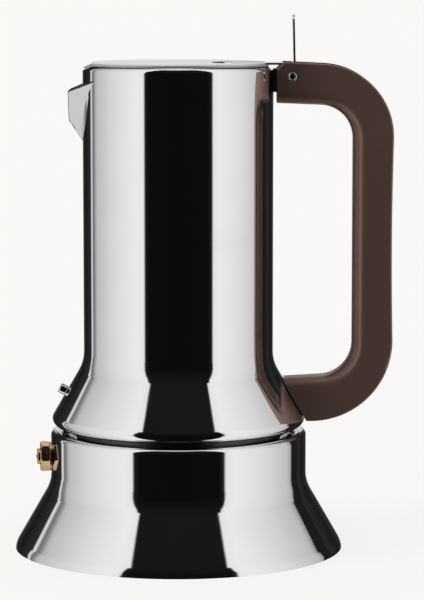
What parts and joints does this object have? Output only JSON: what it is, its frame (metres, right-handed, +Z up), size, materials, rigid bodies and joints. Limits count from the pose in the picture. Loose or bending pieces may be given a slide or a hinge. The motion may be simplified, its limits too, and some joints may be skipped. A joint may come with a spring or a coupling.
{
  "type": "moka pot",
  "caption": "Stove-top steel moka pot: flared boiler with safety valve, hooked-on tall collector with beak spout, flip lid with thumb lever, hinged latch handle.",
  "frame": {"origin": "middle of the resting face, on the axis of boiler and collector", "axes": "+Z up along that axis, +X towards the handle, -X towards the spout, -Y towards the picture's viewer"},
  "size_m": [0.1466, 0.1274, 0.2072],
  "materials": {
    "mirror_steel": "mirror-polished stainless steel",
    "plain_steel": "plain satin stainless steel",
    "valve_brass": "turned brass",
    "seal_rubber": "soft silicone rubber",
    "black_coat": "matt black coating",
    "brown_coat": "fine satin dark brown coating on cast metal"
  },
  "bodies": {
    "boiler": {"boiler_shell": "mirror_steel", "base_disc": "plain_steel", "boiler_neck": "plain_steel", "valve_body": "valve_brass", "valve_washer": "valve_brass", "valve_nut": "valve_brass", "valve_spring": "plain_steel"},
    "valve_poppet": {"valve_poppet": "plain_steel"},
    "funnel": {"funnel": "plain_steel", "funnel_screen": "plain_steel"},
    "pot": {"pot_body": "mirror_steel", "pot_floor": "plain_steel", "coffee_column": "plain_steel", "column_cap": "plain_steel", "gasket": "seal_rubber", "filter_plate": "plain_steel", "spout": "mirror_steel", "hinge_bracket": "black_coat", "hinge_pin": "plain_steel", "front_catch": "plain_steel", "catch_stud": "mirror_steel"},
    "lid": {"lid_plate": "mirror_steel", "lid_strap": "mirror_steel"},
    "handle": {"handle": "brown_coat", "rear_catch": "plain_steel", "catch_screws": "plain_steel"}
  },
  "joints": [
    {"name": "pot_lift", "type": "slide", "parent": "boiler", "child": "pot", "axis": [0, 0, 1], "range_m": [0, 0.16], "deforming": ["front_catch", "rear_catch"]},
    {"name": "funnel_lift", "type": "slide", "parent": "boiler", "child": "funnel", "axis": [0, 0, 1], "range_m": [0, 0.08]},
    {"name": "handle_swing", "type": "hinge", "parent": "pot", "child": "handle", "pos_m": [0.0438, 0, 0.1835], "axis": [0, -1, 0], "range_deg": [0, 20]},
    {"name": "lid_hinge", "type": "hinge", "parent": "pot", "child": "lid", "pos_m": [0.0438, 0, 0.1835], "axis": [0, 1, 0], "range_deg": [0, 75]},
    {"name": "valve_lift", "type": "slide", "parent": "boiler", "child": "valve_poppet", "axis": [-0.9945, -0.1045, 0], "range_m": [0, 0.0015], "stiffness_N_per_m": 1500, "springref_m": -0.0009, "deforming": ["valve_spring"]}
  ],
  "couplings": [
    {"joint": "funnel_lift", "follows": "pot_lift", "ratio": 0.5}
  ]
}
